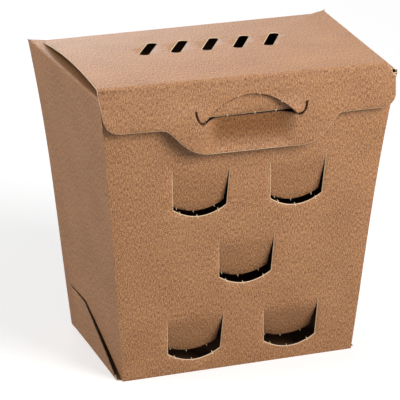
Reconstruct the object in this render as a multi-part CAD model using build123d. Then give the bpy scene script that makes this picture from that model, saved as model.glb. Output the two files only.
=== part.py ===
from build123d import *
import math
import os

# Takeaway carton for fries, folded from one die-cut sheet of brown kraft board.
# Lengths are in millimetres. The base is centred on the origin, and the front looks along -Y.

# Board, folds and cuts
board = 0.5
fold_radius = 1.0
crease_gap = 0.2
cut_gap = 0.3
overrun = 3.0

# Body: a box that widens upwards, a little wider at the back than at the front
height = 141.0
base_depth = 71.0
top_depth = 98.6
base_front_width = 113.0
top_front_width = 140.0
top_back_width = 149.0

# Vents of the front panel: U-shaped cuts in five-spot order, pressed in and hinged at the top
vent_width = 27.2
vent_taper = 0.9
vent_slit = 19.2
vent_sag = 4.4
vent_column = 23.5
vent_shift = 1.2
vent_top_drop = 37.7
vent_base_rise = 30.2
vent_column_shares = (-1, 1, 0, -1, 1)
vent_row_shares = (0, 0, 0.5, 1, 1)
vent_angles = (11, 11, 15, 18, 21)

# Slit of the front panel that takes the lock tongue
slit_length = 42.0
slit_height = 0.6
slit_drop = 13.6

# Side tabs: hooked cuts low on both side panels, whose rear part springs out
tab_rear = 6.5
tab_corner = 27.0
tab_front = 67.0
tab_height = 23.0
tab_crest = 0.8
tab_angle = 2.0

# Dust flaps, folded in from the top edges of the side panels
dust_depth = 34.0
dust_back_gap = 4.6
dust_front_gap = 1.6
dust_taper = 14.0
dust_corner = 6.0
dust_angle = 5

# Lid: an arched panel creased to the top edge of the back panel
lid_width = 138.6
lid_side_gap = 0.4
fold_setback = 1.2
fold_rise = 3.8
lid_arch = 1.8

# Steam slots of the lid
lid_slot_count = 5
lid_slot_length = 25.0
lid_slot_width = 4.6
lid_slot_pitch = 15.0
lid_slot_setback = 44.0
lid_slot_angle = 62

# Lock flap: hangs from the lid's front fold and stands a little off the front panel
flap_side_length = 15.3
flap_lobe_length = 29.5
flap_edge_stand = 1.2
flap_lobe_stand = 3.4
flap_bend_radius = 2.5
flap_bend_rise = 1.0
flap_skew_share = 0.5
flap_corner = 6.5
flap_side_taper = 1.0
lobe_half_width = 22.0
lobe_shoulder = 42.2
lobe_shift = 1.7
lobe_curve_share = 0.58
shoulder_curve_share = 0.2

# Lock of the flap: an arched window with hooked cuts, and a tongue below it that bends in to the slit
arch_half_width = 20.3
arch_rise = 9.8
valley_half_width = 22.4
valley_drop = 1.2
hook_half_width = 26.6
hook_rise = 4.8
tongue_half_width = 13.0
tongue_gap = 0.3
tongue_bend_shares = (0, 0.5, 1)

front_lean = (top_depth - base_depth) / 2
front_length = math.hypot(height, front_lean)
base_back_width = base_front_width + (top_back_width - top_front_width) * base_depth / top_depth
back_edge = top_depth / 2
front_edge = -top_depth / 2
slit_place = front_length - slit_drop

# On the front panel, x runs across, y up the slope from the base and z out of the panel
front_plane = Plane(
    origin=(0, -base_depth / 2, 0),
    x_dir=(1, 0, 0),
    z_dir=(0, -height, -front_lean),
)


def through_cut(plane, outline):
    """Solid that cuts an outline through one wall on the given plane."""
    return plane * extrude(outline, overrun, both=True)


def left_side_plane():
    """On the left panel, x runs forward along the base, y up the slope and z out of the panel."""
    corner = Vector(-base_back_width / 2, base_depth / 2, 0)
    along = Vector(-base_front_width / 2, -base_depth / 2, 0) - corner
    rise = Vector(-top_back_width / 2, top_depth / 2, height) - corner
    return Plane(origin=corner, x_dir=along, z_dir=along.cross(rise))


def body_shell():
    """Four leaning walls and the base, open at the top, with rounded folds."""
    side_view = Polyline(
        (-base_depth / 2, 0),
        (base_depth / 2, 0),
        (back_edge, height),
        (front_edge, height),
        close=True,
    )
    form = extrude(Plane.YZ * make_face(side_view), top_back_width, both=True)
    form = split(form, bisect_by=left_side_plane(), keep=Keep.BOTTOM)
    form &= mirror(form, about=Plane.YZ)
    rings = form.edges().group_by(Axis.Z)
    form = fillet(rings[0] + rings[1], fold_radius)
    mouth = form.faces().sort_by(Axis.Z)[-1]
    return offset(form, amount=-board, openings=mouth)


def vent_outline(gap):
    """Tab of one vent, with its hinge line along x and its free edge bowed downwards."""
    top = vent_width / 2 - gap
    low = top - vent_taper
    sides = Polyline((-low, -vent_slit), (-top, 0), (top, 0), (low, -vent_slit))
    bow = ThreePointArc((low, -vent_slit), (0, -vent_slit - vent_sag + gap), (-low, -vent_slit))
    return make_face(sides + bow)


def vent_places():
    """Hinge centres of the vents on the front panel, each with the angle of its tab."""
    top_row = front_length - vent_top_drop
    spread = top_row - vent_base_rise
    for column, row, angle in zip(vent_column_shares, vent_row_shares, vent_angles):
        yield Pos(vent_shift + column * vent_column, top_row - row * spread), angle


def add_vents(shell):
    """Cuts the vents and puts their tabs back, turned inwards about the hinge lines."""
    for place, angle in vent_places():
        shell -= front_plane * place * extrude(vent_outline(0), overrun, both=True)
        shell += front_plane * place * Rot(X=angle) * extrude(vent_outline(cut_gap), -board)
    return shell


def tab_outline(gap):
    """Rear part of a side cut, between its hinge line, the level cut and the bowed cut."""
    low = fold_radius + gap
    top = tab_height - gap
    front = tab_front - gap
    rear = tab_rear - gap
    middle = (front + tab_corner) / 2
    crest = (low + top) / 2 + tab_crest
    bow = ThreePointArc((tab_corner, top), (middle, crest), (front, low))
    return make_face(Polyline((front, low), (rear, low), (rear, top), (tab_corner, top)) + bow)


def add_side_tabs(shell):
    """Cuts the side tabs and lets their front tips spring outwards."""
    plane = left_side_plane()
    opening = through_cut(plane, tab_outline(0))
    tab = extrude(tab_outline(cut_gap), -board)
    tab = plane * Pos(tab_rear) * Rot(Y=-tab_angle) * Pos(-tab_rear) * tab
    shell -= opening
    shell -= mirror(opening, about=Plane.YZ)
    return shell + tab + mirror(tab, about=Plane.YZ)


def dust_flap():
    """Left dust flap, dipping inwards from the top edge of the side panel."""
    back = Vector(-top_back_width / 2, back_edge, height)
    front = Vector(-top_front_width / 2, front_edge, height)
    plane = Plane(origin=back, x_dir=front - back, z_dir=(0, 0, 1))
    end = (front - back).length - dust_front_gap
    outline = make_face(
        Polyline(
            (dust_back_gap, 0),
            (end, 0),
            (end - dust_taper, dust_depth),
            (dust_back_gap + dust_taper, dust_depth),
            close=True,
        )
    )
    tips = outline.vertices().group_by(Axis.Y)[-1]
    outline = fillet(tips, dust_corner)
    return plane * Rot(X=-dust_angle) * extrude(outline, -board)


def carton():
    """Body of the box with its vents, slit, side tabs, dust flaps and the seat of the lid's crease."""
    shell = add_side_tabs(add_vents(body_shell()))
    slit = Pos(0, slit_place) * Rectangle(slit_length, slit_height)
    shell -= through_cut(front_plane, slit)
    seat_width = lid_width + 2 * lid_side_gap
    seat_depth = board + crease_gap
    shell -= Pos(0, back_edge, height) * Box(seat_width, 2 * overrun, 2 * seat_depth)
    flap = dust_flap()
    return shell + flap + mirror(flap, about=Plane.YZ)


def lid_fold():
    """Upper front edge of the lid, as y and z."""
    return front_edge + fold_setback, height + fold_rise


def lid():
    """Arched panel from the back crease to the front fold, with a row of slanted steam slots."""
    fold_y, fold_z = lid_fold()
    back_y = back_edge - crease_gap
    crown = ((fold_y + back_y) / 2, (height + fold_z) / 2 + lid_arch)
    upper = ThreePointArc((back_y, height), crown, (fold_y, fold_z))
    lower = ThreePointArc((fold_y, fold_z - board), (crown[0], crown[1] - board), (back_y, height - board))
    ends = Line((fold_y, fold_z), (fold_y, fold_z - board)) + Line((back_y, height - board), (back_y, height))
    panel = extrude(Plane.YZ * make_face(upper + ends + lower), lid_width / 2, both=True)
    slot = Rot(Z=lid_slot_angle) * SlotOverall(lid_slot_length, lid_slot_width)
    row = Sketch() + [place * slot for place in GridLocations(lid_slot_pitch, 0, lid_slot_count, 1)]
    reach = fold_rise + lid_arch + overrun
    cutter = extrude(Plane.XY.offset(height) * Pos(0, back_edge - lid_slot_setback) * row, reach, both=True)
    return panel - cutter


def flap_top():
    """Place of the flap's upper edge on the front panel's plane, and how far it lies off that plane."""
    fold_y, fold_z = lid_fold()
    point = front_plane.to_local_coords(Vector(0, fold_y, fold_z - board - crease_gap))
    return point.Y, point.Z


def flap_off(place):
    """How far the flap's outer face lies off the front panel at a place up that panel."""
    share = (front_length - place) / flap_lobe_length
    return board + flap_edge_stand + share * (flap_lobe_stand - flap_edge_stand)


def flap_band(outer):
    """Side view of the flap: its outer line and the inner one, a board thickness behind."""
    inner = Pos(-flap_skew_share * board, -board) * outer
    return Plane.YZ * make_face(outer + inner + Line(outer @ 0, inner @ 0) + Line(outer @ 1, inner @ 1))


def tongue():
    """Tongue of the lock: level with the flap at its sides and bent in to the slit in the middle."""
    tops = (slit_place - valley_drop, slit_place, slit_place)
    places = (valley_half_width, arch_half_width, tongue_half_width)
    half = []
    low = front_length - flap_lobe_length - overrun
    for across, top, share in zip(places, tops, tongue_bend_shares):
        bend = share * (flap_off(top) - board - tongue_gap)
        half.append((across, flap_band(Line((top, flap_off(top) - bend), (low, flap_off(low))))))
    left = [Pos(-across) * face for across, face in half]
    right = [Pos(across) * face for across, face in reversed(half)]
    return loft(left + right, ruled=True)


def tongue_zone():
    """Outline of the flap that the tongue takes up."""
    low = front_length - flap_lobe_length - overrun
    valley = slit_place - valley_drop
    return make_face(
        Polyline(
            (-valley_half_width, low),
            (-valley_half_width, valley),
            (-arch_half_width, slit_place),
            (arch_half_width, slit_place),
            (valley_half_width, valley),
            (valley_half_width, low),
            close=True,
        )
    )


def flap_outline():
    """Flat outline of the flap: straight top, rounded side tips and a deeper lobe in the middle."""
    top = flap_top()[0]
    half = lid_width / 2
    tip = half - flap_side_taper
    side = front_length - flap_side_length
    bottom = front_length - flap_lobe_length
    left_shoulder = lobe_shift - lobe_shoulder
    right_shoulder = lobe_shift + lobe_shoulder
    left_lobe = lobe_shift - lobe_half_width
    right_lobe = lobe_shift + lobe_half_width
    low_pull = lobe_curve_share * (lobe_shoulder - lobe_half_width)
    side_pull = shoulder_curve_share * (lobe_shoulder - lobe_half_width)
    frame = Polyline((left_shoulder, side), (-tip, side), (-half, top), (half, top), (tip, side), (right_shoulder, side))
    right_curve = Bezier(
        (right_shoulder, side),
        (right_shoulder - side_pull, side),
        (right_lobe + low_pull, bottom),
        (right_lobe, bottom),
    )
    left_curve = Bezier(
        (left_lobe, bottom),
        (left_lobe - low_pull, bottom),
        (left_shoulder + side_pull, side),
        (left_shoulder, side),
    )
    outline = make_face(frame + right_curve + Line((right_lobe, bottom), (left_lobe, bottom)) + left_curve)
    low = [vertex for vertex in outline.vertices() if vertex.Y < (top + side) / 2]
    tips = [vertex for vertex in low if abs(vertex.X) > right_shoulder]
    return fillet(tips, flap_corner)


def lock_cut():
    """Arched window above the tongue and the hooked cuts at its ends."""
    sill = Line((arch_half_width, slit_place), (-arch_half_width, slit_place))
    arch = ThreePointArc(sill @ 1, (0, slit_place + arch_rise), sill @ 0)
    valley = (valley_half_width, slit_place - valley_drop)
    run = Line(sill @ 0, valley)
    hook_end = (hook_half_width, slit_place + hook_rise)
    hook = run + TangentArc(valley, hook_end, tangent=run % 1)
    cut = trace(hook, cut_gap)
    return make_face(sill + arch) + cut + mirror(cut, about=Plane.YZ)


def lock_flap():
    """Front flap with the hooked arch and the tongue that seats at the slit."""
    reach = flap_lobe_stand + fold_setback + overrun
    low = front_length - flap_lobe_length - overrun
    bend_place = front_length + flap_bend_rise
    corner = (bend_place, flap_off(bend_place))
    bent = FilletPolyline(flap_top(), corner, (low, flap_off(low)), radius=flap_bend_radius)
    sheet = extrude(flap_band(bent), lid_width / 2, both=True)
    sheet -= extrude(tongue_zone(), reach, both=True)
    sheet += tongue()
    sheet &= extrude(flap_outline(), reach, both=True)
    return front_plane * (sheet - extrude(lock_cut(), reach, both=True))


os.makedirs("parts", exist_ok=True)
export_step(carton(), "parts/carton.step")
export_step(lid(), "parts/lid.step")
export_step(lock_flap(), "parts/lock_flap.step")
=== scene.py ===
import math

import bmesh
import bpy
from mathutils import Matrix, Quaternion, Vector
from mathutils.geometry import interpolate_bezier
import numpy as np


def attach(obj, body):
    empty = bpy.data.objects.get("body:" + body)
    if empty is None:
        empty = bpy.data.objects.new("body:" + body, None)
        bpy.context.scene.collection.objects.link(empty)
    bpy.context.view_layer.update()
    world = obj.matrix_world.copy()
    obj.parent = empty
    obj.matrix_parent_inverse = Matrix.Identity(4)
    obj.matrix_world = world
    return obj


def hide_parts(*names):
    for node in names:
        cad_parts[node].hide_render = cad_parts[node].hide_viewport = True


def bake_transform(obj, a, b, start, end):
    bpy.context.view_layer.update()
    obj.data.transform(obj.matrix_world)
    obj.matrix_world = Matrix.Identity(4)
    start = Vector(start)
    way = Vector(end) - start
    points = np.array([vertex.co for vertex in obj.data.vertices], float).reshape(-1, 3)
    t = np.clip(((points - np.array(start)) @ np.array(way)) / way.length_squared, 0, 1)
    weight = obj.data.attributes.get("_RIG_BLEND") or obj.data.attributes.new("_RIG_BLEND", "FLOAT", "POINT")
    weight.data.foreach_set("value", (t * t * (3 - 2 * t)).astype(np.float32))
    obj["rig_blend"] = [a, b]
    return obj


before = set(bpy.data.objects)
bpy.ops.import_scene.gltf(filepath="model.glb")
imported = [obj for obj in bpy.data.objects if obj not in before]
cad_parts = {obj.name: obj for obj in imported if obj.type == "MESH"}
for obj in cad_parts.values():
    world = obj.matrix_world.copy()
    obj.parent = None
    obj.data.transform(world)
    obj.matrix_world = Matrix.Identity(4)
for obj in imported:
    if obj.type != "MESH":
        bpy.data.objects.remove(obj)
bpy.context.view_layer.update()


# Studio: a white sky, which the camera and reflections see in full. As a light on the carton it is weak, and
# only fills what the lamps leave dark.
def srgb(code):
    """A colour written as sRGB hex, as the linear values that a shader takes."""
    shares = [int(code[at:at + 2], 16) / 255 for at in (0, 2, 4)]
    return [s / 12.92 if s <= 0.04045 else ((s + 0.055) / 1.055) ** 2.4 for s in shares] + [1]


def add(tree, kind, inputs=(), **settings):
    """Adds a node, sets its options, and sets or links its inputs, given as pairs of a socket and a value."""
    node = tree.nodes.new(kind)
    for name, value in settings.items():
        setattr(node, name, value)
    for socket, value in inputs:
        if isinstance(value, bpy.types.NodeSocket):
            tree.links.new(value, node.inputs[socket])
        else:
            node.inputs[socket].default_value = value
    return node


def new_material(name):
    """An empty material, with its node tree."""
    material = bpy.data.materials.new(name)
    material.use_nodes = True
    material.node_tree.nodes.clear()
    return material, material.node_tree


scene = bpy.context.scene
scene.view_settings.view_transform = "Standard"

SKY_STRENGTH = 0.15
world = bpy.data.worlds.new("studio")
world.use_nodes = True
scene.world = world
sky = world.node_tree
sky.nodes.clear()
seen = add(sky, "ShaderNodeLightPath")
in_view = add(sky, "ShaderNodeMath",
              [(0, seen.outputs["Is Camera Ray"]), (1, seen.outputs["Is Glossy Ray"])], operation="MAXIMUM")
strength = add(sky, "ShaderNodeMath", [(0, in_view.outputs[0]), (1, SKY_STRENGTH)], operation="MAXIMUM")
glow = add(sky, "ShaderNodeBackground", [("Color", srgb("FFFFFF")), ("Strength", strength.outputs[0])])
add(sky, "ShaderNodeOutputWorld", [("Surface", glow.outputs[0])])

# Table: a matte white laminate top. The camera sees it lifted to white, so that the shadow shows and no edge
# does, and reflections see half of that lift. It is greyer to the light that it throws back on the carton.
TABLE_SIZE = 4.0
TABLE_LIFT = 0.5
MIRRORED_LIFT = 0.5
white_laminate, tree = new_material("white_laminate")
seen = add(tree, "ShaderNodeLightPath")
mirrored = add(tree, "ShaderNodeMath", [(0, seen.outputs["Is Glossy Ray"]), (1, MIRRORED_LIFT)],
               operation="MULTIPLY")
in_view = add(tree, "ShaderNodeMath", [(0, seen.outputs["Is Camera Ray"]), (1, mirrored.outputs[0])],
              operation="MAXIMUM")
lift = add(tree, "ShaderNodeMath", [(0, in_view.outputs[0]), (1, TABLE_LIFT)], operation="MULTIPLY")
colour = add(tree, "ShaderNodeMix", [("Factor", seen.outputs["Is Camera Ray"]), ("A", srgb("A0A0A0")),
                                     ("B", srgb("C8C8C8"))], data_type="RGBA")
matte = add(tree, "ShaderNodeBsdfDiffuse", [("Color", colour.outputs["Result"])])
shine = add(tree, "ShaderNodeEmission", [("Strength", lift.outputs[0])])
both = add(tree, "ShaderNodeAddShader", [(0, matte.outputs[0]), (1, shine.outputs[0])])
add(tree, "ShaderNodeOutputMaterial", [("Surface", both.outputs[0])])

table_top = bmesh.new()
bmesh.ops.create_grid(table_top, x_segments=1, y_segments=1, size=TABLE_SIZE / 2)
table_mesh = bpy.data.meshes.new("table")
table_top.to_mesh(table_mesh)
table_mesh.materials.append(white_laminate)
table = bpy.data.objects.new("table", table_mesh)
scene.collection.objects.link(table)

# Lamps: four square soft ones. The key stands in front on the right, one hangs above the left side, one
# stands behind, and a weak one stands low on the left.
LAMP_AIM = Vector((0, 0, 0.07))


def soft_lamp(name, direction, distance, size, power):
    """A square soft lamp that looks at the middle of the carton from a direction."""
    data = bpy.data.lights.new(name, "AREA")
    data.size = size
    data.energy = power
    lamp = bpy.data.objects.new(name, data)
    lamp.location = LAMP_AIM + Vector(direction).normalized() * distance
    lamp.rotation_euler = (LAMP_AIM - lamp.location).to_track_quat("-Z", "Y").to_euler()
    lamp.visible_camera = False
    scene.collection.objects.link(lamp)


soft_lamp("key", (0.44, -0.72, 0.56), 0.9, 0.5, 8.9)
soft_lamp("top", (-0.6, 0.1, 0.8), 1.2, 0.5, 4.8)
soft_lamp("rear", (0.06, 0.93, 0.37), 1.3, 0.6, 5.5)
soft_lamp("left", (-0.95, 0.22, 0.1), 0.7, 0.4, 1.2)

# Camera: a long lens a little above the carton and to its left, fitted to the carton's corners in the photo.
CAMERA_TURN = math.radians(-19.49)
CAMERA_TILT = math.radians(20.90)
CAMERA_ROLL = math.radians(0.13)
CAMERA_DISTANCE = 1.1364
CAMERA_AIM = Vector((-0.00868, -0.00567, 0.07242))
CAMERA_LENS = 220.2
lens = bpy.data.cameras.new("camera")
lens.lens = CAMERA_LENS
camera = bpy.data.objects.new("camera", lens)
behind = Vector((math.sin(CAMERA_TURN) * math.cos(CAMERA_TILT),
                 -math.cos(CAMERA_TURN) * math.cos(CAMERA_TILT), math.sin(CAMERA_TILT)))
camera.location = CAMERA_AIM + behind * CAMERA_DISTANCE
camera.rotation_mode = "QUATERNION"
camera.rotation_quaternion = (-behind).to_track_quat("-Z", "Y") @ Quaternion((0, 0, 1), CAMERA_ROLL)
scene.collection.objects.link(camera)
scene.camera = camera

# Kraft board: the one sheet that everything is folded from, matte brown paper with fine fibres and a faint
# mottle, darker and duller where a crease has crushed it. The same darkening also paints shade: over the
# tongue, a little over the whole lock flap, and in part over the fold strips. The pattern lies in the flat
# sheet and bends with it. Flecks and fibres are drawn several times coarser than real ones, so that they show
# in the render.
MM = 0.001
FLECK = 0.36 * MM
FIBRE_LENGTH = 1.5 * MM
FIBRE_WIDTH = 0.5 * MM
MOTTLE = 20 * MM
FLECK_SHARE = 0.62
MOTTLE_SHARE = 0.05
DARKEST_AT = 0.415
PALEST_AT = 0.585
TOOTH = 0.06 * MM
TOOTH_STRENGTH = 0.3
PAPER_IOR = 1.5
PAPER_GLOSS = 0.4
PAPER_ROUGHNESS = 0.58
CRUSHED_ROUGHNESS = 0.3
kraft_board, tree = new_material("kraft_board")
sheet_uv = add(tree, "ShaderNodeUVMap", uv_map="sheet").outputs[0]
along = add(tree, "ShaderNodeMapping",
            [("Vector", sheet_uv), ("Scale", (1 / FIBRE_WIDTH, 1 / FIBRE_LENGTH, 1))]).outputs[0]
fibres = add(tree, "ShaderNodeTexNoise", [("Vector", along), ("Scale", 1), ("Detail", 3)]).outputs[0]
flecks = add(tree, "ShaderNodeTexNoise",
             [("Vector", sheet_uv), ("Scale", 1 / FLECK), ("Detail", 2), ("Roughness", 0.6)]).outputs[0]
mottle = add(tree, "ShaderNodeTexNoise",
             [("Vector", sheet_uv), ("Scale", 1 / MOTTLE), ("Detail", 2)]).outputs[0]
grain = add(tree, "ShaderNodeMix", [("Factor", FLECK_SHARE), ("A", fibres), ("B", flecks)]).outputs[0]
shade = add(tree, "ShaderNodeMix", [("Factor", MOTTLE_SHARE), ("A", grain), ("B", mottle)]).outputs[0]
paper = add(tree, "ShaderNodeValToRGB", [("Fac", shade)])
paper.color_ramp.elements[0].position = DARKEST_AT
paper.color_ramp.elements[0].color = srgb("6E3F22")
paper.color_ramp.elements[1].position = PALEST_AT
paper.color_ramp.elements[1].color = srgb("CF9B6D")
# The crease attribute darkens the colour: crushed creases, and painted shade on the lock flap and its tongue.
shade_and_wear_mask = add(tree, "ShaderNodeAttribute", attribute_name="crease").outputs["Fac"]
shaded_and_crushed_colour = add(tree, "ShaderNodeMix", [("Factor", shade_and_wear_mask), ("A", paper.outputs[0]), ("B", srgb("BCAE95"))],
              data_type="RGBA", blend_type="MULTIPLY")
tooth = add(tree, "ShaderNodeBump",
            [("Strength", TOOTH_STRENGTH), ("Distance", TOOTH), ("Height", grain)]).outputs[0]
dull = add(tree, "ShaderNodeMath", [(0, shade_and_wear_mask), (1, CRUSHED_ROUGHNESS), (2, PAPER_ROUGHNESS)],
           operation="MULTIPLY_ADD").outputs[0]
board = add(tree, "ShaderNodeBsdfPrincipled",
            [("Base Color", shaded_and_crushed_colour.outputs["Result"]), ("Roughness", dull), ("IOR", PAPER_IOR),
             ("Specular IOR Level", PAPER_GLOSS), ("Normal", tooth)])
add(tree, "ShaderNodeOutputMaterial", [("Surface", board.outputs[0])])

# Bare kraft fibre: the inner face of the board is duller than the outer one, and its dark brown is painted
# shade, so that the inside of the closed carton reads dark. A fresh die cut leaves a pale dull edge. The
# edges of the lock and of the side cuts, which rub and bend, are crushed, and their dark brown is mostly
# painted shade of the narrow gaps.
INSIDE_ROUGHNESS = 0.8
EDGE_ROUGHNESS = 0.85


def bare_fibre(name, code, roughness):
    """Uncoated fibre, dull and in one colour."""
    material, tree = new_material(name)
    fibre = add(tree, "ShaderNodeBsdfPrincipled",
                [("Base Color", srgb(code)), ("Roughness", roughness), ("IOR", PAPER_IOR)])
    add(tree, "ShaderNodeOutputMaterial", [("Surface", fibre.outputs[0])])
    return material


# Its dark brown inner face is painted shade, so the inside of the carton reads dark.
shaded_kraft_inside = bare_fibre("shaded_kraft_inside", "593A20", INSIDE_ROUGHNESS)
cut_fibre = bare_fibre("cut_kraft_fibre", "E0C3A0", EDGE_ROUGHNESS)
# Its dark brown is mostly painted shade of the narrow lock and side cuts.
crushed_and_shaded_fibre = bare_fibre("crushed_and_shaded_kraft_fibre", "3E2412", EDGE_ROUGHNESS)

# Sheet work: each panel is die cut flat, scored where it bends, folded and put in its place, all in mm. Then
# the whole sheet gets the board's thickness and a burr along its cuts. A seam mark of JOINED on a point means
# that a crease strip goes on from there, so there is no burr, and the mark for worn cuts means that the cut
# is crushed and its burr is painted dark, as shade in the narrow gap.
BOARD = 0.5
BURR = 0.26
SNAP = 0.0001
WELD = 0.005
CLOSE = 0.01
JOINED = 1
WORN_AND_SHADED = 2
CUT_SLOT = 1
INSIDE_SLOT = 2
CRUSHED_AND_SHADED_SLOT = 3
CUT_ANGLE = math.radians(70)
SHARP_ANGLE = math.radians(45)


def die_cut(lay, *outlines):
    """A flat sheet inside the first outline, without the others, in mm. lay is its place in the pattern."""
    blank = bmesh.new()
    for outline in outlines:
        corners = [blank.verts.new((x, y, 0)) for x, y in outline]
        for start, end in zip(corners, corners[1:] + corners[:1]):
            blank.edges.new((start, end))
    bmesh.ops.triangle_fill(blank, use_beauty=True, edges=blank.edges[:], normal=(0, 0, 1))
    bmesh.ops.recalc_face_normals(blank, faces=blank.faces)
    blank.faces.ensure_lookup_table()
    if blank.faces[0].normal.z < 0:
        bmesh.ops.reverse_faces(blank, faces=blank.faces)
    sheet = blank.loops.layers.uv.new("sheet")
    for face in blank.faces:
        for loop in face.loops:
            loop[sheet].uv = (loop.vert.co.xy + Vector(lay)) * MM
    return blank


def score(blank, axis, levels):
    """Cuts a flat sheet along levels of x or y, so that it can bend there."""
    normal = Vector((axis == "x", axis == "y", 0))
    for level in levels:
        bmesh.ops.bisect_plane(blank, geom=blank.verts[:] + blank.edges[:] + blank.faces[:], dist=SNAP,
                               plane_co=normal * level, plane_no=normal)


def rolled(length, turn, radius):
    """How far on and how far down a strip reaches when it turns round a radius and then runs straight."""
    done = min(length / radius, turn)
    rest = length - done * radius
    return (radius * math.sin(done) + rest * math.cos(done),
            radius * (1 - math.cos(done)) + rest * math.sin(done))


def eased(value, low, high):
    """A smooth step from 0 at low to 1 at high."""
    share = min(max((value - low) / (high - low), 0), 1)
    return share * share * (3 - 2 * share)


def panel(corner, along, up):
    """The place of a flat sheet: its corner, the direction of its x, and a direction on the side of its y."""
    x = Vector(along).normalized()
    z = x.cross(Vector(up)).normalized()
    return Matrix.Translation(corner) @ Matrix((x, z.cross(x), z)).transposed().to_4x4()


def put_in(whole, blank, place):
    """Moves a flat sheet to its place and adds it to a larger mesh."""
    bmesh.ops.transform(blank, matrix=place, verts=blank.verts)
    if place.is_negative:
        bmesh.ops.reverse_faces(blank, faces=blank.faces)
    mesh = bpy.data.meshes.new("panel")
    blank.to_mesh(mesh)
    blank.free()
    whole.from_mesh(mesh)
    bpy.data.meshes.remove(mesh)


def burr(solid, low, high, slot):
    """Chamfers the edges of the board's cut faces whose seam marks lie above low and up to high."""
    seam = solid.verts.layers.float["seam"]
    edges = [edge for edge in solid.edges if edge.is_manifold and edge.calc_face_angle() > CUT_ANGLE
             and any(face.material_index == CUT_SLOT for face in edge.link_faces)
             and low < min(vert[seam] for vert in edge.verts) <= high]
    bmesh.ops.bevel(solid, geom=edges, offset=BURR * MM, offset_type="OFFSET", segments=1, profile=0.5,
                    affect="EDGES", clamp_overlap=False, material=slot)


def make_board(name, sheet):
    """Gives a folded sheet in mm its thickness, inwards, and its cut edges, as an object in metres."""
    bmesh.ops.remove_doubles(sheet, verts=sheet.verts, dist=WELD)
    bmesh.ops.transform(sheet, matrix=Matrix.Scale(MM, 4), verts=sheet.verts)
    mesh = bpy.data.meshes.new(name)
    sheet.to_mesh(mesh)
    sheet.free()
    for material in (kraft_board, cut_fibre, shaded_kraft_inside, crushed_and_shaded_fibre):
        mesh.materials.append(material)
    piece = bpy.data.objects.new(name, mesh)
    scene.collection.objects.link(piece)
    thick = piece.modifiers.new("board", "SOLIDIFY")
    thick.thickness = BOARD * MM
    thick.offset = -1
    thick.material_offset_rim = CUT_SLOT
    thick.material_offset = INSIDE_SLOT
    solid_mesh = bpy.data.meshes.new_from_object(piece.evaluated_get(bpy.context.evaluated_depsgraph_get()))
    piece.modifiers.clear()
    piece.data = solid_mesh
    solid = bmesh.new()
    solid.from_mesh(solid_mesh)
    burr(solid, -JOINED, JOINED / 2, CUT_SLOT)
    burr(solid, (JOINED + WORN_AND_SHADED) / 2, 2 * WORN_AND_SHADED, CRUSHED_AND_SHADED_SLOT)
    solid.to_mesh(solid_mesh)
    solid.free()
    solid_mesh.shade_smooth()
    solid_mesh.set_sharp_from_angle(angle=SHARP_ANGLE)
    return piece


# Carton: front, back, two sides and a base, folded up from one sheet of the board and glued. It widens
# upwards, and its upright folds have drawn in a little near mid height, least at the front left.
HEIGHT = 141.0
BASE_DEPTH = 71.0
TOP_DEPTH = 98.6
BASE_FRONT_WIDTH = 113.0
TOP_FRONT_WIDTH = 140.0
TOP_BACK_WIDTH = 149.0
FOLD = 1.0
FOLD_ANGLE = math.radians(60)
DUST_BEND = 1.3
BEND_STEPS = (0.33, 0.66, 1)
COLUMNS = [8.0 * step for step in range(-7, 8)]
SIDE_SHARES = [step / 10 for step in range(1, 10)]
ROWS = [step / 18 for step in range(1, 18)]
ROWS += [1 - DUST_BEND / HEIGHT * share for share in reversed(BEND_STEPS)]
lean = (TOP_DEPTH - BASE_DEPTH) / 2
slope = math.hypot(lean, HEIGHT)
base_back_width = BASE_FRONT_WIDTH + (TOP_BACK_WIDTH - TOP_FRONT_WIDTH) * BASE_DEPTH / TOP_DEPTH
front_left = Vector((-BASE_FRONT_WIDTH / 2, -BASE_DEPTH / 2, 0))
back_left = Vector((-base_back_width / 2, BASE_DEPTH / 2, 0))
top_front_left = Vector((-TOP_FRONT_WIDTH / 2, -TOP_DEPTH / 2, HEIGHT))
top_back_left = Vector((-TOP_BACK_WIDTH / 2, TOP_DEPTH / 2, HEIGHT))
front_panel = panel((0, -BASE_DEPTH / 2, 0), (1, 0, 0), (0, -lean, HEIGHT))
back_panel = panel((0, BASE_DEPTH / 2, 0), (-1, 0, 0), (0, lean, HEIGHT))
left_panel = panel(back_left, front_left - back_left, top_back_left - back_left)
flipped = Matrix.Scale(-1, 4, (1, 0, 0))

# The slit for the tongue and the five vents are cut in the front panel, and its right top corner is nipped
# off. Each vent is a flap on a hinge line, pressed in so that it bends from that line.
SLIT_LENGTH = 42.0
SLIT_ABOVE = 0.3
SLIT_BELOW = 2.2
SLIT_DROP = 13.6
NIP_WIDTH = 3.5
VENT_WIDTH = 27.2
VENT_TAPER = 0.9
VENT_SLIT = 19.2
VENT_SAG = 4.4
VENT_COLUMN = 23.5
VENT_SHIFT = 1.2
VENT_TOP_DROP = 37.7
VENT_BASE_RISE = 30.2
VENT_COLUMNS = (-1, 1, 0, -1, 1)
VENT_ROWS = (0, 0, 0.5, 1, 1)
VENT_TURNS = (11.3, 11.3, 15.7, 19, 22.5)
VENT_BEND = 14.0
VENT_GAP = 0.2
VENT_STEPS = 24
VENT_SCORES = [2.5 * step for step in range(1, 10)]
sill = slope - SLIT_DROP
nip_foot = 1 - DUST_BEND / HEIGHT
vent_top = slope - VENT_TOP_DROP
vents = [(VENT_SHIFT + column * VENT_COLUMN, vent_top - row * (vent_top - VENT_BASE_RISE), math.radians(turn))
         for column, row, turn in zip(VENT_COLUMNS, VENT_ROWS, VENT_TURNS)]


def vent_foot(middle, hinge, gap, share):
    """A point of a vent's bowed lower edge, which a gap draws in."""
    foot = VENT_WIDTH / 2 - VENT_TAPER - gap
    return middle + foot * (2 * share - 1), hinge - VENT_SLIT + gap - VENT_SAG * 4 * share * (1 - share)


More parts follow.
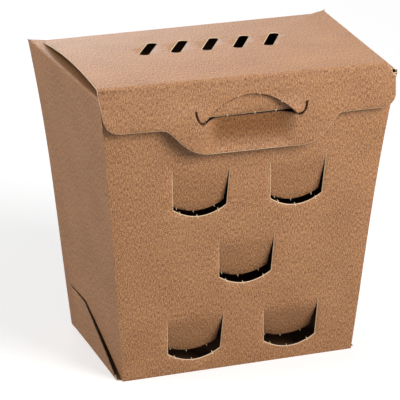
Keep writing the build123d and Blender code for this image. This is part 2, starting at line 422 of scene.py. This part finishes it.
def vent_cut(middle, hinge, gap):
    """The outline of a vent: its hinge line, two slits and the lower edge."""
    half = VENT_WIDTH / 2
    lower = [vent_foot(middle, hinge, gap, step / VENT_STEPS) for step in range(VENT_STEPS + 1)]
    return [(middle + half, hinge), (middle - half, hinge)] + lower


def press(point, hinge, turn):
    """A point of a vent's flap, pressed in about its hinge."""
    down, deep = rolled(hinge - point[1], turn, VENT_BEND)
    return Vector((point[0], hinge - down, -deep))


front = die_cut(
    (0, 0),
    [(-BASE_FRONT_WIDTH / 2, 0), (BASE_FRONT_WIDTH / 2, 0),
     (BASE_FRONT_WIDTH / 2 + (TOP_FRONT_WIDTH - BASE_FRONT_WIDTH) / 2 * nip_foot, slope * nip_foot),
     (TOP_FRONT_WIDTH / 2 - NIP_WIDTH, slope * nip_foot), (TOP_FRONT_WIDTH / 2 - NIP_WIDTH, slope),
     (-TOP_FRONT_WIDTH / 2, slope)],
    [(x, sill + y) for x, y in ((-SLIT_LENGTH / 2, -SLIT_BELOW), (SLIT_LENGTH / 2, -SLIT_BELOW),
                                (SLIT_LENGTH / 2, SLIT_ABOVE), (-SLIT_LENGTH / 2, SLIT_ABOVE))],
    *[vent_cut(middle, hinge, 0) for middle, hinge, turn in vents])
score(front, "y", [slope * row for row in ROWS])
score(front, "x", COLUMNS)
for middle, hinge, turn in vents:
    tab = die_cut((0, 0), vent_cut(middle, hinge, VENT_GAP))
    score(tab, "y", [slope * row for row in ROWS] + [hinge - drop for drop in VENT_SCORES])
    score(tab, "x", COLUMNS)
    for vert in tab.verts:
        vert.co = press(vert.co, hinge, turn)
    put_in(front, tab, Matrix())
bmesh.ops.remove_doubles(front, verts=front.verts, dist=WELD)

# The back panel ends at the crease of the lid, between two small ears that rise to its corners. The crease
# sits nearer to the right corner than to the left one.
LID_LEFT = -69.3
LID_RIGHT = 72.2
EAR_DROP = 1.1
CREASE = 1.4
ear_foot = slope - EAR_DROP
crease_foot = ear_foot - CREASE
back = die_cut((300, 0), [
    (-base_back_width / 2, 0), (base_back_width / 2, 0), (TOP_BACK_WIDTH / 2, slope),
    (-LID_LEFT, ear_foot), (-LID_LEFT, crease_foot), (-LID_RIGHT, crease_foot), (-LID_RIGHT, ear_foot),
    (-TOP_BACK_WIDTH / 2, slope)])
score(back, "y", [slope * row for row in ROWS])
score(back, "x", COLUMNS)
seam = back.verts.layers.float.new("seam")
for vert in back.verts:
    if vert.co.y > crease_foot - CLOSE and LID_LEFT - CLOSE < -vert.co.x < LID_RIGHT + CLOSE:
        vert[seam] = JOINED

# Each side panel carries a dust flap, folded in over the mouth, with a slit at each end of its fold. A hooked
# cut frees the low rear part of the panel, which springs out towards the front corner.
DUST_DEPTH = 34.0
DUST_BACK_GAP = 0.8
DUST_FRONT_GAP = 1.6
DUST_TAPER = 14.0
DUST_CORNER = 6.0
DUST_SLIT = 0.3
DUST_DIP = math.radians(3)
DUST_SCORES = (0, *BEND_STEPS, 8, 16, 24)
CUT_REAR = 6.5
CUT_CORNER = 27.0
CUT_FRONT = 69.4
CUT_HEIGHT = 23.0
CUT_CREST = 0.8
CUT_WIDTH = 0.5
CUT_STEPS = 24
CORNER_STEPS = 8
ROUND = 0.55
side_to_flat = left_panel.inverted()
flat_front = side_to_flat @ front_left
flat_top_front = side_to_flat @ top_front_left
flat_top_back = side_to_flat @ top_back_left
side_slope = flat_top_front.y
side_lean = math.atan2(top_front_left.x - front_left.x, HEIGHT)
fold_start = side_slope - DUST_BEND
dust_back = flat_top_back.x + DUST_BACK_GAP
dust_front = flat_top_front.x - DUST_FRONT_GAP
dust_tip_back = (dust_back + DUST_TAPER, side_slope + DUST_DEPTH)
dust_tip_front = (dust_front - DUST_TAPER, side_slope + DUST_DEPTH)
cut_places = [CUT_REAR + (CUT_FRONT - CUT_REAR) * step / CUT_STEPS for step in range(1, CUT_STEPS)]


def curve(start, lead, follow, end, steps):
    """Points of a smooth line from its ends and the two points that it leans to."""
    handles = [Vector((*point, 0)) for point in (start, lead, follow, end)]
    return [point.to_2d()[:] for point in interpolate_bezier(*handles, steps)]


def rounded(before, corner, after, radius):
    """A corner of an outline, rounded to a radius, as a few points."""
    before, corner, after = (Vector(point) for point in (before, corner, after))
    start = corner + (before - corner).normalized() * radius
    end = corner + (after - corner).normalized() * radius
    return curve(start, start.lerp(corner, ROUND), end.lerp(corner, ROUND), end, CORNER_STEPS)


def cut_line(x):
    """Height of the hooked cut on a side panel: level, then down in a slight bow to the front corner."""
    share = min(max((x - CUT_CORNER) / (CUT_FRONT - CUT_CORNER), 0), 1)
    return CUT_HEIGHT * (1 - share) + CUT_CREST * 4 * share * (1 - share)


left = die_cut(
    (150, 0),
    [(0, 0), (CUT_FRONT - CUT_WIDTH, 0),
     *[(x - CUT_WIDTH / 2, cut_line(x) - CUT_WIDTH / 2) for x in reversed(cut_places)],
     (CUT_REAR, CUT_HEIGHT), *[(x, cut_line(x) + CUT_WIDTH / 2) for x in cut_places],
     (CUT_FRONT, 0), (flat_front.x, 0), flat_top_front.xy[:],
     (dust_front + DUST_SLIT, side_slope), (dust_front + DUST_SLIT, fold_start),
     (dust_front, fold_start), (dust_front, side_slope),
     *rounded((dust_front, side_slope), dust_tip_front, dust_tip_back, DUST_CORNER),
     *rounded(dust_tip_front, dust_tip_back, (dust_back, side_slope), DUST_CORNER),
     (dust_back, side_slope), (dust_back, fold_start),
     (dust_back - DUST_SLIT, fold_start), (dust_back - DUST_SLIT, side_slope), flat_top_back.xy[:]])
score(left, "y", [side_slope * row for row in ROWS]
      + [side_slope + DUST_BEND * share for share in DUST_SCORES])
score(left, "x", [flat_front.x * share for share in SIDE_SHARES])
seam = left.verts.layers.float.new("seam")
for vert in left.verts:
    x, y = vert.co.xy
    # The hooked cut's faces get the dark burr, painted shade of its narrow gap.
    if (vert.is_boundary and CUT_WIDTH < y < CUT_HEIGHT + CUT_WIDTH
            and CUT_REAR - CUT_WIDTH < x < CUT_FRONT + CUT_WIDTH):
        vert[seam] = WORN_AND_SHADED
    if y > fold_start and dust_back - CLOSE < x < dust_front + CLOSE:
        on, down = rolled(y - fold_start, math.radians(90) + DUST_DIP - side_lean, DUST_BEND)
        vert.co.y = fold_start + on
        vert.co.z = -down

base = die_cut((0, 200), [(-BASE_FRONT_WIDTH / 2, BASE_DEPTH / 2), (-base_back_width / 2, -BASE_DEPTH / 2),
                          (base_back_width / 2, -BASE_DEPTH / 2), (BASE_FRONT_WIDTH / 2, BASE_DEPTH / 2)])
score(base, "x", COLUMNS)
score(base, "y", [BASE_DEPTH * (share - 0.5) for share in SIDE_SHARES]
      + [BASE_DEPTH * (x / flat_front.x - 0.5) for x in (CUT_FRONT - CUT_WIDTH, CUT_FRONT)])

shell = bmesh.new()
right = left.copy()
put_in(shell, front, front_panel)
put_in(shell, back, back_panel)
put_in(shell, left, left_panel)
put_in(shell, right, flipped @ left_panel)
put_in(shell, base, panel((0, 0, 0), (1, 0, 0), (0, -1, 0)))
bmesh.ops.remove_doubles(shell, verts=shell.verts, dist=CLOSE)
folds = [edge for edge in shell.edges if edge.is_manifold and edge.calc_face_angle() > FOLD_ANGLE]
bmesh.ops.bevel(shell, geom=folds, offset=FOLD, offset_type="OFFSET", segments=4, profile=0.5, affect="EDGES",
                clamp_overlap=True, material=-1)

# The freed part of each side springs out, and the upright folds draw in near mid height. The left hand is -1
# and the right hand 1, and for the folds so are front and back.
SPRING = {-1: 2.2, 1: 1.9}
SPRING_CURVE = 1.2
PANEL_INSIDE = 1.3
PANEL_OUTSIDE = 0.1
DRAWN_IN = {(-1, -1): 0.4, (1, -1): 1.6, (-1, 1): 1.6, (1, 1): 1.6}
WAIST_CURVE = 1.4
for vert in shell.verts:
    hand = -1 if vert.co.x < 0 else 1
    spot = side_to_flat @ Vector((-abs(vert.co.x), vert.co.y, vert.co.z))
    on_side = -PANEL_INSIDE < spot.z < PANEL_OUTSIDE
    if on_side and spot.y < cut_line(spot.x) and CUT_REAR < spot.x < CUT_FRONT - CUT_WIDTH / 2:
        vert.co.x += hand * SPRING[hand] * ((spot.x - CUT_REAR) / (CUT_FRONT - CUT_REAR)) ** SPRING_CURVE
    to_back = min(max((vert.co.y + TOP_DEPTH / 2) / TOP_DEPTH, 0), 1)
    amount = DRAWN_IN[hand, -1] * (1 - to_back) + DRAWN_IN[hand, 1] * to_back
    rise = min(max(vert.co.z / HEIGHT, 0), 1)
    vert.co.x -= amount * math.sin(math.pi * rise ** WAIST_CURVE) * vert.co.x / (TOP_FRONT_WIDTH / 2)
carton = make_board("carton_board", shell)
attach(carton, "carton")
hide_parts("carton")

# Nicks: the die leaves three uncut points across each vent and three along the slit. They have torn, and
# leave pale stubs of fibre, on the panel's edge and on the vent's flap.
NICKS = (0.13, 0.46, 0.85)
NICK_SLIP = 0.02
NICK_SLANT = 0.3
NICK_REACH = 1.8
NICK_WIDTH = 0.9
SLIT_NICKS = (-11, 2, 12)
SLIT_NICK_REACH = 0.7
SLIT_NICK_PROUD = 0.1


def stub(nicks, place, point, reach):
    """A torn stub of fibre: a short blunt wedge in the board's thickness, from a point along reach."""
    turn = Matrix.Rotation(math.atan2(reach[1], reach[0]) - math.pi / 2, 4, "Z")
    spot = place @ Matrix.Translation((point[0], point[1], point[2] - BOARD / 2)) @ turn
    shape = bmesh.ops.create_cone(nicks, cap_ends=True, segments=6, radius1=NICK_WIDTH / 2,
                                  radius2=NICK_WIDTH / 6, depth=NICK_REACH * math.hypot(*reach))
    upright = Matrix.Rotation(-math.pi / 2, 4, "X")
    bmesh.ops.transform(nicks, matrix=spot @ upright, verts=shape["verts"])


def make_nicks(name, nicks, body):
    """The stubs of one panel as an object that rides on a body."""
    bmesh.ops.transform(nicks, matrix=Matrix.Scale(MM, 4), verts=nicks.verts)
    mesh = bpy.data.meshes.new(name)
    nicks.to_mesh(mesh)
    nicks.free()
    mesh.materials.append(cut_fibre)
    stubs = bpy.data.objects.new(name, mesh)
    scene.collection.objects.link(stubs)
    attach(stubs, body)


nicks = bmesh.new()
for middle, hinge, turn in vents:
    for share in NICKS:
        stub(nicks, front_panel, (*vent_foot(middle, hinge, 0, share), 0), (-NICK_SLANT, 1))
        foot = vent_foot(middle, hinge, VENT_GAP, share - NICK_SLIP)
        stub(nicks, front_panel, press(foot, hinge, turn), (NICK_SLANT, -1))
for x in SLIT_NICKS:
    stub(nicks, front_panel, (x, sill + SLIT_ABOVE, SLIT_NICK_PROUD), (0, -SLIT_NICK_REACH))
make_nicks("vent_nicks", nicks, "carton")

# Lid: one panel of the board, creased to the back panel, with a row of slanted steam slots punched in it. It
# springs up in an arch on its left and lies down on the dust flap on its right.
LID_GAP = 0.2
LID_FRONT_LEFT = -71.2
LID_FRONT_RIGHT = 65.3
LID_ARCH = (3.0, 0.6)
LID_SCORES = [4.0 * step for step in range(-11, 12)]
FOLD_RISE = (5.5, 3.7)
FRONT_CREASE = 1.9
SLOTS = 5
SLOT_LENGTH = 25.0
SLOT_WIDTH = 4.6
SLOT_PITCH = 15.0
SLOT_SETBACK = 44.0
SLOT_SLANT = math.radians(28)
SLOT_STEPS = 20
lid_back = TOP_DEPTH / 2 - LID_GAP
lid_fold = -TOP_DEPTH / 2
lid_start = lid_back - CREASE
lid_end = lid_fold + FRONT_CREASE


def across(pair, x):
    """A value that goes from one at the lid's left to another at its right."""
    share = (x - LID_LEFT) / (LID_RIGHT - LID_LEFT)
    return pair[0] + (pair[1] - pair[0]) * share


def lid_top(x, y):
    """Height of the lid's upper face."""
    share = (lid_back - y) / (lid_back - lid_fold)
    straight = HEIGHT - EAR_DROP + (across(FOLD_RISE, x) + EAR_DROP) * share
    return straight + across(LID_ARCH, x) * 4 * share * (1 - share)


def fold_point(x):
    """A point of the lid's front fold."""
    return Vector((x, lid_fold, lid_top(x, lid_fold)))


def slot_cut(middle):
    """A steam slot: a slanted cut with round ends, about its middle."""
    reach = (SLOT_LENGTH - SLOT_WIDTH) / 2
    turned = Matrix.Rotation(-SLOT_SLANT, 2)
    shape = []
    for step in range(SLOT_STEPS):
        turn = math.pi * step / (SLOT_STEPS / 2)
        end = reach if turn < math.pi else -reach
        point = Vector((SLOT_WIDTH / 2 * math.cos(turn), SLOT_WIDTH / 2 * math.sin(turn) + end))
        shape.append((turned @ point + Vector(middle))[:])
    return shape


slot_middles = [((step - (SLOTS - 1) / 2) * SLOT_PITCH, TOP_DEPTH / 2 - SLOT_SETBACK)
                for step in range(SLOTS)]
lid_sheet = die_cut(
    (300, 160), [(LID_FRONT_LEFT, lid_end), (LID_FRONT_RIGHT, lid_end), (LID_RIGHT, lid_start),
                 (LID_LEFT, lid_start)],
    *[slot_cut(middle) for middle in slot_middles])
score(lid_sheet, "x", COLUMNS)
score(lid_sheet, "y", LID_SCORES)
seam = lid_sheet.verts.layers.float.new("seam")
for vert in lid_sheet.verts:
    if vert.co.y < lid_end + CLOSE or vert.co.y > lid_start - CLOSE:
        vert[seam] = JOINED
    vert.co.z = lid_top(vert.co.x, vert.co.y)
lid = make_board("lid_board", lid_sheet)
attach(lid, "lid")
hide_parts("lid")

# Lock flap: the front end of the board, which hangs from the lid's fold, out over the panel's top edge and
# down. Its lower edge drops in two S-curves to a lobe, and its right top corner is nipped off. An arched cut
# with hooked ends opens a window, and the tongue below it bends in to the slit.
FLAP_SIDE = 15.7
FLAP_LOBE = 29.3
FLAP_LEFT = -68.2
FLAP_RIGHT = 68.9
FLAP_CORNER = 6.5
FLAP_NIP = ((68.8, -0.8), (67.7, -0.6), (67.1, 0.2), (67.1, 1.2))
FLAP_COLUMNS = [2.0 * step for step in range(-34, 33)]
FLAP_ROWS = [0.5 * step for step in range(-5, 6)] + [-2.0 * step for step in range(2, 15)]
SHOULDERS = {-1: -43.0, 1: 43.3}
LOBE_ENDS = {-1: -16.0, 1: 21.5}
LOBE_LEADS = (0.25, 0.68)
LOBE_STEPS = 16
EDGE_STAND = 0.6
LOBE_STAND = 4.0
BULGE = {-1: 2.0, 1: 0.8}
BULGE_RISE = (14, 28)
BULGE_FALL = (30, 60)
BULGE_LOSS = 0.5
BULGE_DROP = (0, 14)
OVER_EDGE = 2.5
KNEE_RISE = 0.8
FOLD_STRIP = 5.0
FOLD_STEPS = 100
LOCK_SHIFT = -0.6
LOCK_MARGIN = 2.0
ARCH_HALF = 20.3
ARCH_RISE = 9.3
ARCH_STEPS = 20
ARCH_LIFT = 2.0
LIFT_RISE = (0, 16)
LIFT_FALL = (19, 25)
VALLEY_HALF = 22.4
VALLEY_EASE = 0.6
VALLEY_DROP = 1.2
VALLEY_LEADS = (2.0, 1.0)
HOOK_HALF = 26.6
HOOK_RISE = 4.8
HOOK_GAP = 0.85
HOOK_NARROWING = 0.8
HOOK_STEPS = (8, 6)
TIP_LEAD = 2.4
FOOT_LEAD = (0.8, 0.7)
TONGUE_HALF = 14.0
TONGUE_OFF = 0.05
TONGUE_FADE = 6.0
# The crease attribute darkens the flap: the whole flap a little, as painted shade; the strip over the panel's
# top edge, partly crushed and partly painted shade; and the tongue, as painted shade.
FLAP_PAINTED_SHADE = 0.12
FOLD_WEAR_AND_SHADE = 0.3
TONGUE_PAINTED_SHADE = 0.88
ARCH_NICKS = (2, 7, 12, 16)
ARCH_NICK_REACH = 0.5
edge_off = EDGE_STAND + BOARD
lobe_off = LOBE_STAND + BOARD
lobe_foot = slope - FLAP_LOBE
side_foot = slope - FLAP_SIDE
flap_start = slope + FOLD_STRIP - FRONT_CREASE
flap_nip = [(x, slope + rise) for x, rise in FLAP_NIP]


def hang(x):
    """How much higher the flap hangs at an x than on average, because the lid's fold slants."""
    return across(FOLD_RISE, x) - sum(FOLD_RISE) / 2


def flap_off(x, place):
    """How far the flap's outer face stands off the front panel: most at the lobe and beside the tongue."""
    drop = slope - place
    far = abs(x - LOCK_SHIFT)
    bulge = (BULGE[-1 if x < LOCK_SHIFT else 1] * eased(far, *BULGE_RISE)
             * (1 - BULGE_LOSS * eased(far, *BULGE_FALL)) * eased(drop, *BULGE_DROP))
    return edge_off + (lobe_off - edge_off) * drop / FLAP_LOBE + bulge


def flap_point(x, place):
    """A point of the flap's outer face: down the panel, with the tongue bent in. Above the panel's top edge,
    place runs on along a curve over that edge and back to the lid's fold, one FOLD_STRIP higher."""
    if place > slope - OVER_EDGE:
        start = front_panel @ Vector((x, slope - OVER_EDGE + hang(x), flap_off(x, slope - OVER_EDGE)))
        knee = front_panel @ Vector((x, slope + KNEE_RISE, edge_off))
        fold = fold_point(x)
        over = interpolate_bezier(start, start.lerp(knee, ROUND), fold.lerp(knee, ROUND), fold,
                                  FOLD_STEPS + 1)
        share = (place - slope + OVER_EDGE) / (OVER_EDGE + FOLD_STRIP)
        return over[round(share * FOLD_STEPS)]
    off = flap_off(x, place)
    if place < sill + CLOSE:
        bend = 1 - eased(abs(x - LOCK_SHIFT), TONGUE_HALF, VALLEY_HALF - VALLEY_EASE)
        bend *= min(max((place - lobe_foot) / (sill - lobe_foot), 0), 1)
        off -= (off - TONGUE_OFF) * bend
    else:
        off += (ARCH_LIFT * eased(x, *LIFT_RISE) * (1 - eased(x, *LIFT_FALL))
                * (1 - eased(place, sill, sill + ARCH_RISE)))
    return front_panel @ Vector((x, place + hang(x), off))


def hook(hand, gap):
    """A hooked end of the lock cut, from its tip down round the valley and up to the foot of the arch."""
    tip = (LOCK_SHIFT + hand * (HOOK_HALF - gap * HOOK_NARROWING), sill + HOOK_RISE)
    valley = (LOCK_SHIFT + hand * (VALLEY_HALF + VALLEY_EASE), sill - VALLEY_DROP + gap)
    foot = (LOCK_SHIFT + hand * ARCH_HALF, sill + gap)
    down = curve(tip, (tip[0], tip[1] - TIP_LEAD), (valley[0] + hand * VALLEY_LEADS[0], valley[1]), valley,
                 HOOK_STEPS[0])
    up = curve(valley, (valley[0] - hand * VALLEY_LEADS[1], valley[1]),
               (foot[0] + hand * FOOT_LEAD[0], foot[1] - FOOT_LEAD[1]), foot, HOOK_STEPS[1])
    return down + up[1:]


def lobe_side(hand):
    """One S-curve of the flap's lower edge, from the shoulder to the lobe."""
    top = (SHOULDERS[hand], side_foot)
    low = (LOBE_ENDS[hand], lobe_foot)
    run = low[0] - top[0]
    return curve(top, (top[0] + LOBE_LEADS[0] * run, side_foot), (low[0] - LOBE_LEADS[1] * run, lobe_foot),
                 low, LOBE_STEPS)


arch = [(LOCK_SHIFT + ARCH_HALF - 2 * ARCH_HALF * step / ARCH_STEPS,
         sill + HOOK_GAP + ARCH_RISE * (1 - (1 - 2 * step / ARCH_STEPS) ** 2))
        for step in range(1, ARCH_STEPS)]
flap_sheet = die_cut(
    (300, 260),
    [(LID_FRONT_RIGHT, flap_start), (LID_FRONT_LEFT, flap_start),
     *rounded((LID_FRONT_LEFT, flap_start), (FLAP_LEFT, side_foot), (SHOULDERS[-1], side_foot), FLAP_CORNER),
     *lobe_side(-1), *reversed(lobe_side(1)),
     *rounded((SHOULDERS[1], side_foot), (FLAP_RIGHT, side_foot), flap_nip[0], FLAP_CORNER), *flap_nip],
    [*hook(-1, 0), *reversed(hook(1, 0)), *hook(1, HOOK_GAP), *arch, *reversed(hook(-1, HOOK_GAP))])
score(flap_sheet, "x", FLAP_COLUMNS)
score(flap_sheet, "y", [slope + row for row in FLAP_ROWS])
wear_and_shade_layer = flap_sheet.verts.layers.float.new("crease")
seam = flap_sheet.verts.layers.float.new("seam")
for vert in flap_sheet.verts:
    x, y = vert.co.xy
    far = abs(x - LOCK_SHIFT)
    if y > flap_start - CLOSE:
        vert[seam] = JOINED
    # The lock cut's faces get the dark burr, painted shade of its narrow gaps.
    if vert.is_boundary and sill - LOCK_MARGIN < y < slope - LOCK_MARGIN and far < HOOK_HALF + LOCK_MARGIN:
        vert[seam] = WORN_AND_SHADED
    # The tongue below the slit is darkened as painted shade, most towards the slit.
    tongue = (1 - eased(far, TONGUE_HALF, VALLEY_HALF)) * eased(y, lobe_foot, sill - TONGUE_FADE)
    vert[wear_and_shade_layer] = (FLAP_PAINTED_SHADE + FOLD_WEAR_AND_SHADE * eased(y, slope, slope + FOLD_STRIP)
                  + TONGUE_PAINTED_SHADE * tongue * (y < sill + CLOSE))
    vert.co = flap_point(x, y)
flap = make_board("flap_board", flap_sheet)
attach(flap, "lock_flap")
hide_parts("lock_flap")
nicks = bmesh.new()
for step in ARCH_NICKS:
    stub(nicks, front_panel, front_panel.inverted() @ flap_point(*arch[step]), (0, -ARCH_NICK_REACH))
make_nicks("arch_nicks", nicks, "lock_flap")

# Creases: the two narrow strips where the board bends, from the back panel to the lid and from the lid to the
# flap. They are the same sheet, crushed by the crease, and follow the panels on both sides. Their colour
# darkens over the second half of their rows, partly as crushed board and partly as painted shade.
CREASE_COLUMNS = 18
CREASE_ROWS = 8
CREASE_LAY = 320
CREASE_WEAR_AND_SHADE_ROWS = (3, 6)
BACK_SHARPNESS = 0.7
FRONT_SHARPNESS = 0.95


def crease(name, ends, rows, fold, bodies, sharpness):
    """A strip between two edges, rounded towards the fold. rows gives the edges' points at an x, and ends the
    first and last x on both edges."""
    strip = bmesh.new()
    bmesh.ops.create_grid(strip, x_segments=CREASE_COLUMNS, y_segments=CREASE_ROWS, size=1, calc_uvs=False)
    sheet = strip.loops.layers.uv.new("sheet")
    wear_and_shade_layer = strip.verts.layers.float.new("crease")
    seam = strip.verts.layers.float.new("seam")
    for face in strip.faces:
        for loop in face.loops:
            loop[sheet].uv = (loop.vert.co.x * LID_RIGHT * MM, (loop.vert.co.y * CREASE + CREASE_LAY) * MM)
    for vert in strip.verts:
        step = round((1 - vert.co.y) / 2 * CREASE_ROWS)
        x = ends[0] + (ends[1] - ends[0]) * (vert.co.x + 1) / 2
        first, last = rows(x)
        bend = fold(x)
        points = interpolate_bezier(first, first.lerp(bend, sharpness), last.lerp(bend, sharpness), last,
                                    CREASE_ROWS + 1)
        vert[wear_and_shade_layer] = FOLD_WEAR_AND_SHADE * eased(step, *CREASE_WEAR_AND_SHADE_ROWS)
        if step in (0, CREASE_ROWS):
            vert[seam] = JOINED
        vert.co = points[step]
    piece = make_board(name, strip)
    first, last = rows(0)
    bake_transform(piece, *bodies, first * MM, last * MM)


crease("back_crease", (LID_LEFT, LID_RIGHT),
       lambda x: (back_panel @ Vector((-x, crease_foot, 0)), Vector((x, lid_start, lid_top(x, lid_start)))),
       lambda x: Vector((x, lid_back, HEIGHT - EAR_DROP)), ("carton", "lid"), BACK_SHARPNESS)
crease("front_crease", (LID_FRONT_LEFT, LID_FRONT_RIGHT),
       lambda x: (Vector((x, lid_end, lid_top(x, lid_end))), flap_point(x, flap_start)),
       fold_point, ("lid", "lock_flap"), FRONT_SHARPNESS)
